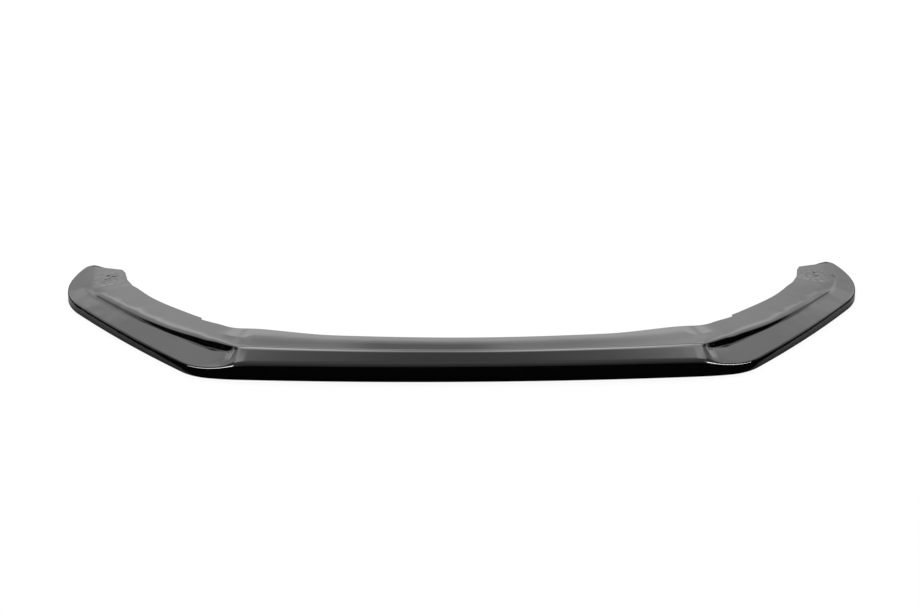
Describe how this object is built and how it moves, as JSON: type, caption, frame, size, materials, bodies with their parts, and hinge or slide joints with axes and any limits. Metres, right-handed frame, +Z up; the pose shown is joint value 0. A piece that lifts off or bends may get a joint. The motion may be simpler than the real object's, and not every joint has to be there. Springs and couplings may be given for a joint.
{
  "type": "front splitter lip",
  "caption": "Gloss black front splitter lip for a car: a thin moulded sheet with a ridge, side scoops and blade-like wings that sweep back.",
  "frame": {"origin": "middle of the footprint, on the plane of the skirt's lower rim", "axes": "+X along the lip to the car's right-hand tip as the picture shows it, +Y back from the front edge towards the tips, +Z up"},
  "size_m": [1.7822, 0.561, 0.0535],
  "materials": {
    "gloss_black": "gloss"
  },
  "bodies": {
    "root": {"splitter_lip": "gloss_black"}
  },
  "joints": []
}
